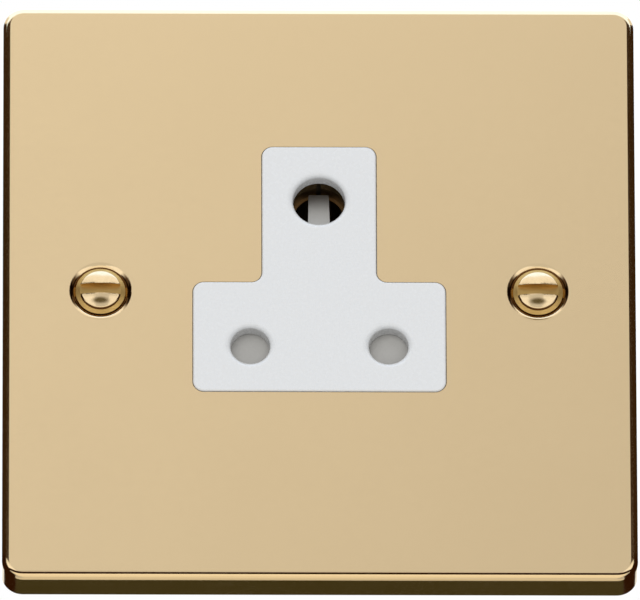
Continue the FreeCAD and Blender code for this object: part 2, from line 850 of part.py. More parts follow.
def strip_outline(path, thickness, bend):
    """Corners of a folded strip seen from its edge, from the points of its middle line."""
    sides = []
    for sign in (-1, 1):
        row = []
        for i, (u, v) in enumerate(path):
            ins = (u - path[i - 1][0], v - path[i - 1][1]) if i > 0 else None
            outs = (path[i + 1][0] - u, path[i + 1][1] - v) if i + 1 < len(path) else None
            ins = ins or outs
            outs = outs or ins
            n_in = (-ins[1] / math.hypot(*ins), ins[0] / math.hypot(*ins))
            n_out = (-outs[1] / math.hypot(*outs), outs[0] / math.hypot(*outs))
            spread = 1 + n_in[0] * n_out[0] + n_in[1] * n_out[1]
            shift = sign * thickness / 2 / spread
            turn = ins[0] * outs[1] - ins[1] * outs[0]
            radius = 0.0
            if abs(turn) > 1e-6:
                radius = bend if turn * sign > 0 else bend + thickness
            row.append((u + (n_in[0] + n_out[0]) * shift, v + (n_in[1] + n_out[1]) * shift, radius))
        sides.append(row)
    return sides[0] + sides[1][::-1]


def earth_strap():
    """Folded brass strip from the earth terminal's pillar to the plate stud beside it."""
    x = pillar_x(0, -1, earth_tube)
    pillar_front = earth_end - flare_height - pillar_length
    half = strap_thickness / 2
    leg = x - pillar_size / 2 + half
    outside = -upper_half - strap_standoff - half
    path = [
        (x + pillar_size / 2, pillar_front - half), (leg, pillar_front - half),
        (leg, land - strap_notch_gap - half), (outside, land - strap_notch_gap - half),
        (outside, wall_back + half),
        (-stud_side, wall_back + half),
    ]
    width = strap_width / 2
    strip = slab(strip_outline(path, strap_thickness, strap_bend), plan,
                 earth_height - width, earth_height + width)
    eye = rod(strap_eye_diameter, wall_back, wall_back + strap_thickness, -stud_side,
              stud_side_height)
    strap = joined([strip, eye])
    strap = strap.cut(rod(stud_hole_diameter, wall_back - 1, wall_back + 2, -stud_side,
                          stud_side_height))
    return strap.cut(rod(peg_diameter + 2 * clip_slack, pillar_front - 2, pillar_front + 1,
                         x, earth_height))


def parts():
    """Every piece by name."""
    made = {
        "front_plate": front_plate(),
        "fixing_screws": fixing_screws(),
        "screw_retainers": screw_retainers(),
        "front_moulding": front_moulding(),
        "shutter": shutter(),
        "shutter_spring": shutter_spring(),
        "rear_moulding": rear_moulding(),
        "live_contact": live_contact_at(live_x),
        "neutral_contact": live_contact_at(-live_x),
        "earth_contact": earth_contact(),
        "terminal_screws": terminal_screws(),
        "housing_screws": housing_screws(),
        "plate_studs": plate_studs(),
        "stud_washers": stud_washers(),
        "stud_nuts": stud_nuts(),
        "earth_strap": earth_strap(),
    }
    for name, x, z, hand, bore, tube, end in terminals():
        start = earth_front if name == "earth" else live_front
        made[name + "_contact_clip"] = contact_clip(x, z, tube, start)
        made[name + "_terminal"] = terminal(x, z, hand, tube, end, name == "earth")
    return made


os.makedirs("parts", exist_ok=True)
for node, shape in parts().items():
    shape.exportStep("parts/" + node + ".step")
    print(node, len(shape.Solids), round(shape.Volume, 2), shape.isValid())
print("shutter travel", round(travel, 3))
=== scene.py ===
"""Looks of the round pin socket: its materials, threads, wound spring and a plain studio."""
import json
import math

import bmesh
import bpy
from mathutils import Matrix, Vector


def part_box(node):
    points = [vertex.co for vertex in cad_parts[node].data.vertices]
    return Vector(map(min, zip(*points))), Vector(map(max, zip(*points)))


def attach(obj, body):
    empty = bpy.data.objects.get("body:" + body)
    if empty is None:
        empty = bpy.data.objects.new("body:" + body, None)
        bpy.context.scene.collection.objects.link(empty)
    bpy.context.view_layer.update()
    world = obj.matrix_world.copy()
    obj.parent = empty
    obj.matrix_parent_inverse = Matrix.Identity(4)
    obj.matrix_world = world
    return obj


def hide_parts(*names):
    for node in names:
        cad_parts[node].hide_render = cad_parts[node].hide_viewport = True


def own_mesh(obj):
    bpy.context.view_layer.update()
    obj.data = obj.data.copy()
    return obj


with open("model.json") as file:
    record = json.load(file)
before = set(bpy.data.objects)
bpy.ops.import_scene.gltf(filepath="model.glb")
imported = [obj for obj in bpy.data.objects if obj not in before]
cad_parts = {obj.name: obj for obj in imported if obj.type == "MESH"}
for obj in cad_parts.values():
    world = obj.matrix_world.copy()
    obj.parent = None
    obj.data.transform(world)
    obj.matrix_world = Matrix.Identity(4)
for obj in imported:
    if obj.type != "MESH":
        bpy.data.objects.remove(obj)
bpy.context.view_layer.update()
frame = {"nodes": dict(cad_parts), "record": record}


# Front plate: one pressing of brass sheet with a rolled shoulder and a return rim.
# It is polished and lacquered, with a faint mottling under the shine. The left and right edges of
# the screws' dimples are darkened to brown with painted shade.

mm = 0.001


def new_group(name, inputs, outputs):
    """Empty shader node group with named sockets, and its input and output nodes."""
    group = bpy.data.node_groups.new(name, "ShaderNodeTree")
    for label, kind, value in inputs:
        socket = group.interface.new_socket(label, in_out="INPUT", socket_type=kind)
        socket.default_value = value
    for label, kind in outputs:
        group.interface.new_socket(label, in_out="OUTPUT", socket_type=kind)
    return group, group.nodes.new("NodeGroupInput"), group.nodes.new("NodeGroupOutput")


def mixed_colour(tree, factor, first, second):
    """Colour between two colours by a factor."""
    mix = tree.nodes.new("ShaderNodeMix")
    mix.data_type = "RGBA"
    tree.links.new(factor, mix.inputs["Factor"])
    tree.links.new(first, mix.inputs[6])
    tree.links.new(second, mix.inputs[7])
    return mix.outputs[2]


def remapped(tree, value, low, high):
    """Value between 0.3 and 0.7, spread from low to high."""
    spread = tree.nodes.new("ShaderNodeMapRange")
    spread.inputs["From Min"].default_value = 0.3
    spread.inputs["From Max"].default_value = 0.7
    tree.links.new(value, spread.inputs["Value"])
    tree.links.new(low, spread.inputs["To Min"])
    tree.links.new(high, spread.inputs["To Max"])
    return spread.outputs["Result"]


def metal_finish_group():
    """Worked metal: cloudy tone, uneven roughness and fine tool lines along a chosen way."""
    group, given, made = new_group("metal_finish", [
        ("Bright Tone", "NodeSocketColor", (0.8, 0.8, 0.8, 1)),
        ("Dull Tone", "NodeSocketColor", (0.7, 0.7, 0.7, 1)),
        ("Cloud Scale", "NodeSocketFloat", 60.0),
        ("Smooth", "NodeSocketFloat", 0.1),
        ("Rough", "NodeSocketFloat", 0.2),
        ("Line Scale", "NodeSocketVector", (400.0, 400.0, 4000.0)),
        ("Line Share", "NodeSocketFloat", 0.3),
    ], [("Colour", "NodeSocketColor"), ("Roughness", "NodeSocketFloat"), ("Height", "NodeSocketFloat")])
    link = group.links.new
    place = group.nodes.new("ShaderNodeTexCoord")
    cloud = group.nodes.new("ShaderNodeTexNoise")
    cloud.inputs["Detail"].default_value = 4
    cloud.inputs["Roughness"].default_value = 0.6
    link(place.outputs["Object"], cloud.inputs["Vector"])
    link(given.outputs["Cloud Scale"], cloud.inputs["Scale"])
    stretch = group.nodes.new("ShaderNodeVectorMath")
    stretch.operation = "MULTIPLY"
    link(place.outputs["Object"], stretch.inputs[0])
    link(given.outputs["Line Scale"], stretch.inputs[1])
    lines = group.nodes.new("ShaderNodeTexNoise")
    lines.inputs["Scale"].default_value = 1
    lines.inputs["Detail"].default_value = 3
    link(stretch.outputs["Vector"], lines.inputs["Vector"])
    both = group.nodes.new("ShaderNodeMix")
    link(given.outputs["Line Share"], both.inputs["Factor"])
    link(cloud.outputs["Fac"], both.inputs[2])
    link(lines.outputs["Fac"], both.inputs[3])
    link(mixed_colour(group, both.outputs[0], given.outputs["Bright Tone"], given.outputs["Dull Tone"]),
         made.inputs["Colour"])
    link(remapped(group, both.outputs[0], given.outputs["Smooth"], given.outputs["Rough"]),
         made.inputs["Roughness"])
    link(both.outputs[0], made.inputs["Height"])
    return group


def new_material(name):
    """Material with a Principled shader, and that shader."""
    material = bpy.data.materials.new(name)
    material.use_nodes = True
    return material, material.node_tree.nodes["Principled BSDF"]


def add_group(material, shader, group, values, bump_strength, bump_depth):
    """Places a finish group in a material and joins it to colour, roughness and bump."""
    tree = material.node_tree
    finish = tree.nodes.new("ShaderNodeGroup")
    finish.node_tree = group
    for label, value in values.items():
        finish.inputs[label].default_value = value
    tree.links.new(finish.outputs["Colour"], shader.inputs["Base Color"])
    tree.links.new(finish.outputs["Roughness"], shader.inputs["Roughness"])
    bump = tree.nodes.new("ShaderNodeBump")
    bump.inputs["Strength"].default_value = bump_strength
    bump.inputs["Distance"].default_value = bump_depth
    tree.links.new(finish.outputs["Height"], bump.inputs["Height"])
    tree.links.new(bump.outputs["Normal"], shader.inputs["Normal"])


metal_finish = metal_finish_group()


def metal(name, bright, dull, smooth, rough, cloud, lines, share, bump_strength, bump_depth):
    """Metal with the worked finish."""
    material, shader = new_material(name)
    shader.inputs["Metallic"].default_value = 1
    add_group(material, shader, metal_finish, {
        "Bright Tone": (*bright, 1), "Dull Tone": (*dull, 1), "Cloud Scale": cloud,
        "Smooth": smooth, "Rough": rough, "Line Scale": lines, "Line Share": share,
    }, bump_strength, bump_depth)
    return material


def dress(name, material):
    """Gives a solid from the frame its material."""
    for slot in frame["nodes"][name].material_slots:
        slot.material = material


polished_brass = metal(
    "polished_brass", (0.80, 0.616, 0.368), (0.755, 0.58, 0.343), smooth=0.09, rough=0.15,
    cloud=55.0, lines=(700.0, 700.0, 900.0), share=0.35, bump_strength=0.06, bump_depth=0.02 * mm)


def painted_shade_zone_group():
    """Painted shade: darker tone in a zone about an axis along the depth and its mirror image, or over a
    height.
    """
    group, given, made = new_group("painted_shade_zone", [
        ("Plain Tone", "NodeSocketColor", (0.8, 0.8, 0.8, 1)),
        ("Shade", "NodeSocketColor", (0.5, 0.5, 0.5, 1)),
        ("Axis", "NodeSocketVector", (0, 0, 0)),
        ("Outer Start", "NodeSocketFloat", 2.0),
        ("Outer End", "NodeSocketFloat", 1.0),
        ("Inner Start", "NodeSocketFloat", -2.0),
        ("Inner End", "NodeSocketFloat", -1.0),
        ("Sideways Start", "NodeSocketFloat", -2.0),
        ("Sideways End", "NodeSocketFloat", -1.0),
        ("Depth Start", "NodeSocketFloat", 2.0),
        ("Depth End", "NodeSocketFloat", 1.0),
        ("Height Start", "NodeSocketFloat", -2.0),
        ("Height End", "NodeSocketFloat", -1.0),
    ], [("Colour", "NodeSocketColor")])
    link = group.links.new
    place = group.nodes.new("ShaderNodeTexCoord")
    parts = group.nodes.new("ShaderNodeSeparateXYZ")
    link(place.outputs["Object"], parts.inputs[0])
    folded = group.nodes.new("ShaderNodeMath")
    folded.operation = "ABSOLUTE"
    link(parts.outputs["X"], folded.inputs[0])
    point = group.nodes.new("ShaderNodeCombineXYZ")
    link(folded.outputs["Value"], point.inputs["X"])
    link(parts.outputs["Z"], point.inputs["Z"])
    offset = group.nodes.new("ShaderNodeVectorMath")
    offset.operation = "SUBTRACT"
    link(point.outputs["Vector"], offset.inputs[0])
    link(given.outputs["Axis"], offset.inputs[1])
    span = group.nodes.new("ShaderNodeVectorMath")
    span.operation = "LENGTH"
    link(offset.outputs["Vector"], span.inputs[0])
    unit = group.nodes.new("ShaderNodeVectorMath")
    unit.operation = "NORMALIZE"
    link(offset.outputs["Vector"], unit.inputs[0])
    unit_parts = group.nodes.new("ShaderNodeSeparateXYZ")
    link(unit.outputs["Vector"], unit_parts.inputs[0])
    sideways = group.nodes.new("ShaderNodeMath")
    sideways.operation = "ABSOLUTE"
    link(unit_parts.outputs["X"], sideways.inputs[0])
    darker = group.nodes.new("ShaderNodeMix")
    darker.data_type = "RGBA"
    darker.blend_type = "MULTIPLY"
    link(given.outputs["Plain Tone"], darker.inputs[6])
    link(given.outputs["Shade"], darker.inputs[7])
    mask = None
    for label, value in (
            ("Outer", span.outputs["Value"]), ("Inner", span.outputs["Value"]),
            ("Sideways", sideways.outputs["Value"]), ("Depth", parts.outputs["Y"]),
            ("Height", parts.outputs["Z"])):
        step = group.nodes.new("ShaderNodeMapRange")
        step.interpolation_type = "SMOOTHSTEP"
        link(value, step.inputs["Value"])
        link(given.outputs[label + " Start"], step.inputs["From Min"])
        link(given.outputs[label + " End"], step.inputs["From Max"])
        if mask is None:
            mask = step.outputs["Result"]
            continue
        both = group.nodes.new("ShaderNodeMath")
        both.operation = "MULTIPLY"
        link(mask, both.inputs[0])
        link(step.outputs["Result"], both.inputs[1])
        mask = both.outputs["Value"]
    link(mask, darker.inputs["Factor"])
    link(darker.outputs[2], made.inputs["Colour"])
    return group


painted_shade_zone = painted_shade_zone_group()


def add_painted_shade_zone(material, shade, values):
    """Places a zone of painted shade between a material's finish and its shader."""
    tree = material.node_tree
    shader = tree.nodes["Principled BSDF"]
    zone = tree.nodes.new("ShaderNodeGroup")
    zone.node_tree = painted_shade_zone
    zone.inputs["Shade"].default_value = (*shade, 1)
    for label, value in values.items():
        zone.inputs[label].default_value = value
    tree.links.new(shader.inputs["Base Color"].links[0].from_socket, zone.inputs["Plain Tone"])
    tree.links.new(zone.outputs["Colour"], shader.inputs["Base Color"])


plate_low, plate_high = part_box("front_plate")
screw_spacing = 60.3 * mm
# Painted shade: dark brown crescents on the left and right edges of each screw's dimple.
add_painted_shade_zone(polished_brass, (0.09, 0.055, 0.03), {
    "Axis": (screw_spacing / 2, 0, 0),
    "Outer Start": 4.3 * mm, "Outer End": 4.12 * mm,
    "Inner Start": 3.6 * mm, "Inner End": 3.8 * mm,
    "Sideways Start": 0.70, "Sideways End": 0.90,
    "Depth Start": plate_low.y + 0.9 * mm, "Depth End": plate_low.y + 0.75 * mm,
})
dress("front_plate", polished_brass)


# Fixing screws: two M3.5 slotted screws with a domed boss on the head, turned from brass and
# polished. They sit in the plate's dimples, and their rolled threads reach back to the wall box.

screw_brass = metal(
    "screw_brass", (0.80, 0.63, 0.40), (0.70, 0.53, 0.30), smooth=0.09, rough=0.2,
    cloud=500.0, lines=(2500.0, 2500.0, 2500.0), share=0.5, bump_strength=0.1, bump_depth=0.01 * mm)
# The slot and ledge brass is rougher, and its darker, browner tone is painted shade.
slot_ledge_shaded_brass = metal(
    "slot_ledge_shaded_brass", (0.62, 0.41, 0.155), (0.45, 0.285, 0.085), smooth=0.3, rough=0.5,
    cloud=900.0, lines=(500.0, 9000.0, 9000.0), share=0.7, bump_strength=0.3, bump_depth=0.01 * mm)
# Painted shade: near-black brass for the corners round the boss and the rim.
corner_shade_brass = metal(
    "corner_shade_brass", (0.20, 0.10, 0.035), (0.10, 0.045, 0.015), smooth=0.35, rough=0.5,
    cloud=1200.0, lines=(3000.0, 3000.0, 3000.0), share=0.5, bump_strength=0.2, bump_depth=0.01 * mm)


def add_turned(bm, profile, x, z, steps):
    """Surface turned about an axis along the depth, from (radius, depth) points, closed on the axis."""
    rings = []
    for radius, depth in profile:
        if radius < 1e-9:
            rings.append([bm.verts.new((x, depth, z))])
            continue
        angles = [2 * math.pi * i / steps for i in range(steps)]
        rings.append([bm.verts.new((x + radius * math.cos(a), depth, z + radius * math.sin(a)))
                      for a in angles])
    for near, far in zip(rings, rings[1:]):
        for i in range(steps):
            j = (i + 1) % steps
            corners = [near[i % len(near)], near[j % len(near)], far[j % len(far)], far[i % len(far)]]
            face = list(dict.fromkeys(corners))
            if len(face) > 2:
                bm.faces.new(face)


def add_thread(bm, crest, root, pitch, start, end, point, x, z, steps):
    """Closed rod with a helical thread between two depths, tapered over its point."""
    flank_section = [(0.0, root), (0.125, root), (0.5, crest), (0.625, crest)]
    rows = []
    turns = int((end - start) / pitch) + 2
    for turn in range(-1, turns):
        for share, radius in flank_section:
            row = []
            for i in range(steps + 1):
                depth = start + pitch * (turn + share + i / steps)
                held = min(max(depth, start), end)
                reach = root + (radius - root) * min(1.0, (held - start) / pitch)
                if held != depth:
                    reach = root
                reach = min(reach, root - point + (end - held)) if held > end - point else reach
                angle = 2 * math.pi * i / steps
                row.append(bm.verts.new((x + reach * math.cos(angle), held, z + reach * math.sin(angle))))
            rows.append(row)
    for low, high in zip(rows, rows[1:]):
        for i in range(steps):
            bm.faces.new((low[i], low[i + 1], high[i + 1], high[i]))
    for row in (rows[0], rows[-1]):
        bm.faces.new(row[:-1])


def finished_object(name, bm, sharp_angle):
    """Object from a bmesh: seams closed, faces turned outward, smooth apart from its sharp edges."""
    bmesh.ops.remove_doubles(bm, verts=bm.verts, dist=1e-7)
    bmesh.ops.dissolve_degenerate(bm, edges=bm.edges, dist=1e-7)
    bmesh.ops.recalc_face_normals(bm, faces=bm.faces)
    for face in bm.faces:
        face.smooth = True
    for edge in bm.edges:
        edge.smooth = len(edge.link_faces) == 2 and edge.calc_face_angle(0) < sharp_angle
    mesh = bpy.data.meshes.new(name)
    bm.to_mesh(mesh)
    bm.free()
    piece = bpy.data.objects.new(name, mesh)
    bpy.context.scene.collection.objects.link(piece)
    return piece


def cut_from(piece, cutter):
    """Cuts one closed mesh from another and removes the cutter."""
    cut = piece.modifiers.new("cut", "BOOLEAN")
    cut.operation = "DIFFERENCE"
    cut.solver = "EXACT"
    cut.object = cutter
    depsgraph = bpy.context.evaluated_depsgraph_get()
    mesh = bpy.data.meshes.new_from_object(piece.evaluated_get(depsgraph))
    piece.modifiers.clear()
    piece.data = mesh
    bpy.data.objects.remove(cutter)


def softened(piece, width, angle):
    """Breaks the sharp edges of a piece with a small round."""
    edges = piece.modifiers.new("broken_edges", "BEVEL")
    edges.width = width
    edges.segments = 2
    edges.limit_method = "ANGLE"
    edges.angle_limit = angle
    depsgraph = bpy.context.evaluated_depsgraph_get()
    mesh = bpy.data.meshes.new_from_object(piece.evaluated_get(depsgraph))
    piece.modifiers.clear()
    piece.data = mesh


screw_low, screw_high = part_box("fixing_screws")
head_radius = -screw_low.x - screw_spacing / 2
crown = screw_low.y
rim_depth = crown + 1.2 * mm
cone_depth = rim_depth + 0.25 * mm
ledge_rise = 0.15 * mm
boss_radius = 2.85 * mm
boss_edge = 0.3 * mm
dome_radius = 8.5 * mm
neck_radius = 1.5 * mm
slot_half = 0.75 * mm
slot_floor = crown + 1.0 * mm
thread_start = -1.5 * mm
thread_crest = 1.75 * mm
thread_root = 1.4 * mm
thread_pitch = 0.6 * mm
thread_point = 0.8 * mm


def fixing_screw_head(x):
    """Head and neck of one screw: slotted dome with a round edge, ledge, cone and neck."""
    profile = [(0.0, crown)]
    inner = boss_radius - boss_edge
    lean = math.asin(inner / (dome_radius - boss_edge))
    dome_steps = 10
    for i in range(1, dome_steps + 1):
        angle = lean * i / dome_steps
        profile.append((dome_radius * math.sin(angle), crown + dome_radius * (1 - math.cos(angle))))
    edge_depth = crown + dome_radius - (dome_radius - boss_edge) * math.cos(lean)
    edge_steps = 7
    for i in range(1, edge_steps + 1):
        angle = lean + (math.pi / 2 - lean) * i / edge_steps
        profile.append((inner + boss_edge * math.sin(angle), edge_depth - boss_edge * math.cos(angle)))
    profile += [
        (boss_radius, rim_depth - ledge_rise), (head_radius, rim_depth), (head_radius, cone_depth),
        (neck_radius, cone_depth + head_radius - neck_radius), (neck_radius, thread_start),
        (0.0, thread_start),
    ]
    bm = bmesh.new()
    add_turned(bm, profile, x, 0.0, steps=96)
    head = finished_object("screw_head", bm, math.radians(40))
    cutter_mesh = bmesh.new()
    size = Matrix.Diagonal((3 * head_radius, slot_floor - crown + 1 * mm, 2 * slot_half, 1))
    middle = Matrix.Translation((x, (slot_floor + crown - 1 * mm) / 2, 0))
    bmesh.ops.create_cube(cutter_mesh, size=1, matrix=middle @ size)
    cut_from(head, finished_object("slot_cutter", cutter_mesh, math.radians(30)))
    softened(head, width=0.04 * mm, angle=math.radians(40))
    return head


whole = bmesh.new()
for screw_x in (-screw_spacing / 2, screw_spacing / 2):
    head = fixing_screw_head(screw_x)
    whole.from_mesh(head.data)
    bpy.data.objects.remove(head)
    add_thread(whole, thread_crest, thread_root, thread_pitch, thread_start - 0.2 * mm, screw_high.y,
               thread_point, screw_x, 0.0, steps=40)
fixing_screws = finished_object("fixing_screws_threaded", whole, math.radians(35))
for material in (screw_brass, slot_ledge_shaded_brass, corner_shade_brass):
    fixing_screws.data.materials.append(material)

# The finish of each face of a head follows from where it lies: the slot and the ledge are less
# polished than the dome and darker with painted shade, and the corners round the boss and the rim
# are near black with painted shade.
slot_index = 1
corner_index = 2
for face in fixing_screws.data.polygons:
    middle = face.center
    offset = math.hypot(abs(middle.x) - screw_spacing / 2, middle.z)
    in_slot = abs(middle.z) < slot_half + 0.01 * mm and middle.y > crown + 0.06 * mm
    on_ledge = offset > boss_radius + 0.05 * mm and middle.y < rim_depth - 0.02 * mm
    in_corner = abs(offset - boss_radius) < 0.08 * mm or offset > head_radius - 0.03 * mm
    if middle.y > cone_depth + 0.2 * mm:
        continue
    if in_corner and not in_slot:
        face.material_index = corner_index
    elif in_slot or on_ledge:
        face.material_index = slot_index
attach(fixing_screws, "socket")
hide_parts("fixing_screws")


# Screw retainers: soft nylon washers, punched from sheet and pushed over the screw necks.
# They keep the screws in the plate while it hangs loose.

def plastic_skin_group():
    """Moulded plastic: faint flow clouds in the tone, and the grain of the mould's surface."""
    group, given, made = new_group("plastic_skin", [
        ("Light Tone", "NodeSocketColor", (0.8, 0.8, 0.8, 1)),
        ("Deep Tone", "NodeSocketColor", (0.7, 0.7, 0.7, 1)),
        ("Flow Scale", "NodeSocketFloat", 40.0),
        ("Grain Scale", "NodeSocketFloat", 3000.0),
        ("Smooth", "NodeSocketFloat", 0.3),
        ("Rough", "NodeSocketFloat", 0.5),
    ], [("Colour", "NodeSocketColor"), ("Roughness", "NodeSocketFloat"), ("Height", "NodeSocketFloat")])
    link = group.links.new
    place = group.nodes.new("ShaderNodeTexCoord")
    flow = group.nodes.new("ShaderNodeTexNoise")
    flow.inputs["Detail"].default_value = 3
    flow.inputs["Distortion"].default_value = 0.6
    link(place.outputs["Object"], flow.inputs["Vector"])
    link(given.outputs["Flow Scale"], flow.inputs["Scale"])
    grain = group.nodes.new("ShaderNodeTexNoise")
    grain.inputs["Detail"].default_value = 2
    link(place.outputs["Object"], grain.inputs["Vector"])
    link(given.outputs["Grain Scale"], grain.inputs["Scale"])
    link(mixed_colour(group, flow.outputs["Fac"], given.outputs["Light Tone"], given.outputs["Deep Tone"]),
         made.inputs["Colour"])
    link(remapped(group, grain.outputs["Fac"], given.outputs["Smooth"], given.outputs["Rough"]),
         made.inputs["Roughness"])
    link(grain.outputs["Fac"], made.inputs["Height"])
    return group


plastic_skin = plastic_skin_group()


def plastic(name, light, deep, smooth, rough, flow, grain, bump_strength, bump_depth):
    """Moulded plastic with its flow clouds and grain."""
    material, shader = new_material(name)
    add_group(material, shader, plastic_skin, {
        "Light Tone": (*light, 1), "Deep Tone": (*deep, 1), "Flow Scale": flow,
        "Grain Scale": grain, "Smooth": smooth, "Rough": rough,
    }, bump_strength, bump_depth)
    return material


def let_light_in(material, weight, spread, depth):
    """Lets light run a little way into a plastic, by its share, its spread of colour and its depth."""
    shader = material.node_tree.nodes["Principled BSDF"]
    shader.inputs["Subsurface Weight"].default_value = weight
    shader.inputs["Subsurface Radius"].default_value = spread
    shader.inputs["Subsurface Scale"].default_value = depth


nylon = plastic(
    "nylon", (0.86, 0.86, 0.82), (0.78, 0.78, 0.73), smooth=0.35, rough=0.5,
    flow=300.0, grain=2500.0, bump_strength=0.2, bump_depth=0.02 * mm)
let_light_in(nylon, weight=0.3, spread=(1.0, 1.0, 0.8), depth=0.6 * mm)
dress("screw_retainers", nylon)


# Front moulding: white urea moulding whose polished tee face stands just proud of the plate.
# The plate's studs and nuts hold its flange, and its ribs guide the shutter. Its pin holes are
# darker inside with painted shade.

white_moulding = plastic(
    "white_moulding", (0.788, 0.803, 0.817), (0.775, 0.79, 0.803), smooth=0.25, rough=0.29,
    flow=60.0, grain=1500.0, bump_strength=0.012, bump_depth=0.01 * mm)
let_light_in(white_moulding, weight=0.1, spread=(1.0, 0.95, 0.9), depth=0.4 * mm)


mounts = {mount["name"]: mount for mount in frame["record"]["mounts"]}
edge_blur = 0.03 * mm
# Painted shade inside the pin holes, stronger in the live and neutral holes than in the earth hole.
for name, bore, shade in (("live_hole", 2.75 * mm, 0.70), ("earth_pin", 3.62 * mm, 0.86)):
    hole = mounts[name]["pos_m"]
    add_painted_shade_zone(white_moulding, (shade, shade * 0.985, shade * 0.97), {
        "Axis": (hole[0], 0, hole[2]),
        "Outer Start": bore + edge_blur, "Outer End": bore - edge_blur,
    })
dress("front_moulding", white_moulding)


# Shutter: grey white moulding with a ramp tongue, which the earth pin pushes down.
# It is matt nylon, and the top of its ramp is darkened with painted shade.

shutter_moulding = plastic(
    "shutter_moulding", (0.50, 0.49, 0.465), (0.44, 0.432, 0.41), smooth=0.35, rough=0.5,
    flow=220.0, grain=2600.0, bump_strength=0.15, bump_depth=0.02 * mm)
ramp_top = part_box("shutter")[1].z
greyed_length = 4.5 * mm
# Painted shade: darker over the top 4.5 mm of the ramp.
add_painted_shade_zone(shutter_moulding, (0.42, 0.39, 0.37), {
    "Height Start": ramp_top - greyed_length, "Height End": ramp_top,
})
dress("shutter", shutter_moulding)


# Shutter spring: compression spring of hard drawn wire with closed ends, between a floor peg
# and the shutter's lug. It shortens as the shutter goes down.

spring_steel = metal(
    "spring_steel", (0.62, 0.62, 0.63), (0.48, 0.47, 0.46), smooth=0.2, rough=0.38,
    cloud=800.0, lines=(1500.0, 1500.0, 1500.0), share=0.5, bump_strength=0.15, bump_depth=0.01 * mm)


def add_coil(bm, centre, mean, wire, height, free_turns, steps, around):
    """Closed-ended coil of round wire that stands along +Z on centre."""
    closed = 0.9
    total = free_turns + 2 * closed
    lead = (height - wire - 2 * closed * wire) / free_turns
    rings = []
    for k in range(int(total * steps) + 1):
        turn = min(k / steps, total)
        rise = wire * min(turn, closed) + lead * min(max(turn - closed, 0), free_turns)
        rise += wire * max(turn - closed - free_turns, 0)
        angle = 2 * math.pi * turn
        outward = Vector((math.cos(angle), math.sin(angle), 0))
        middle = centre + outward * mean + Vector((0, 0, wire / 2 + rise))
        ring = []
        for i in range(around):
            roll = 2 * math.pi * i / around
            offset = outward * math.cos(roll) + Vector((0, 0, math.sin(roll)))
            ring.append(bm.verts.new(middle + offset * wire / 2))
        rings.append(ring)
    for near, far in zip(rings, rings[1:]):
        for i in range(around):
            j = (i + 1) % around
            bm.faces.new((near[i], near[j], far[j], far[i]))
    bm.faces.new(rings[0][::-1])
    bm.faces.new(rings[-1])


spring_low, spring_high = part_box("shutter_spring")
spring_wire = 0.5 * mm
spring_mean = (spring_high.x - spring_low.x - spring_wire) / 2
spring_foot = Vector(((spring_low.x + spring_high.x) / 2, (spring_low.y + spring_high.y) / 2, spring_low.z))
spring_length = spring_high.z - spring_low.z
coil = bmesh.new()
add_coil(coil, spring_foot, spring_mean, spring_wire, spring_length, free_turns=5, steps=40, around=12)
spring = finished_object("shutter_spring_wound", coil, math.radians(50))
spring.data.materials.append(spring_steel)
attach(spring, "socket")
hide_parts("shutter_spring")
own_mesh(spring)


# Contacts, terminals and earth strap: turned and stamped brass, left as drawn and a little brown.
# The turned brass is darkened further with painted shade, as the contacts lie deep inside the holes.
# The tubes are swaged into their bars, and the strap leads from the earth pillar to a plate stud.

# Painted shade: the turned brass is made far darker than its brown tarnish alone.
turned_brass = metal(
    "turned_brass", (0.29, 0.195, 0.095), (0.20, 0.13, 0.06), smooth=0.3, rough=0.45,
    cloud=250.0, lines=(600.0, 5000.0, 600.0), share=0.6, bump_strength=0.2, bump_depth=0.01 * mm)
stamped_brass = metal(
    "stamped_brass", (0.72, 0.55, 0.30), (0.58, 0.42, 0.20), smooth=0.24, rough=0.4,
    cloud=180.0, lines=(400.0, 400.0, 4000.0), share=0.6, bump_strength=0.2, bump_depth=0.01 * mm)
for name in ("live", "neutral", "earth"):
    dress(name + "_contact", turned_brass)
    dress(name + "_terminal", stamped_brass)
dress("earth_strap", stamped_brass)


# Contact clips: open rings of spring steel strip, sprung into the grooves of the split tubes.
# They are blued by their heat treatment and keep the drawn lines of the strip.

clip_steel = metal(
    "clip_steel", (0.50, 0.50, 0.52), (0.36, 0.36, 0.38), smooth=0.25, rough=0.4,
    cloud=400.0, lines=(800.0, 5000.0, 800.0), share=0.6, bump_strength=0.15, bump_depth=0.01 * mm)
for name in ("live", "neutral", "earth"):
    dress(name + "_contact_clip", clip_steel)


# Rear moulding: deep housing of white urea, with a lightly grained mould surface.
# It holds the contacts in their pockets and is screwed to the front moulding. The earth contact's
# pocket is darkened with painted shade.

rear_plastic = plastic(
    "rear_plastic", (0.78, 0.78, 0.76), (0.73, 0.73, 0.705), smooth=0.36, rough=0.52,
    flow=45.0, grain=2200.0, bump_strength=0.25, bump_depth=0.03 * mm)
earth_axis = mounts["earth_pin"]["pos_m"]
# Painted shade: dark brown in the earth contact's pocket.
add_painted_shade_zone(rear_plastic, (0.16, 0.11, 0.07), {
    "Axis": (earth_axis[0], 0, earth_axis[2]),
    "Outer Start": 6.0 * mm, "Outer End": 5.8 * mm,
    "Depth Start": 15.5 * mm, "Depth End": 15.0 * mm,
})
dress("rear_moulding", rear_plastic)


# Steel screws, nuts and washers: zinc plated, with the cloudy tone of clear passivation.
# They clamp the mouldings together, hold them to the plate's studs and pinch the wires.

zinc_plate = metal(
    "zinc_plate", (0.72, 0.73, 0.74), (0.56, 0.57, 0.57), smooth=0.2, rough=0.36,
    cloud=350.0, lines=(1800.0, 1800.0, 1800.0), share=0.4, bump_strength=0.2, bump_depth=0.01 * mm)
for name in ("terminal_screws", "housing_screws", "stud_washers", "stud_nuts"):
    dress(name, zinc_plate)


# Plate studs: M3 brass studs with rolled threads, welded to the back of the plate.
# They carry the whole mechanism.

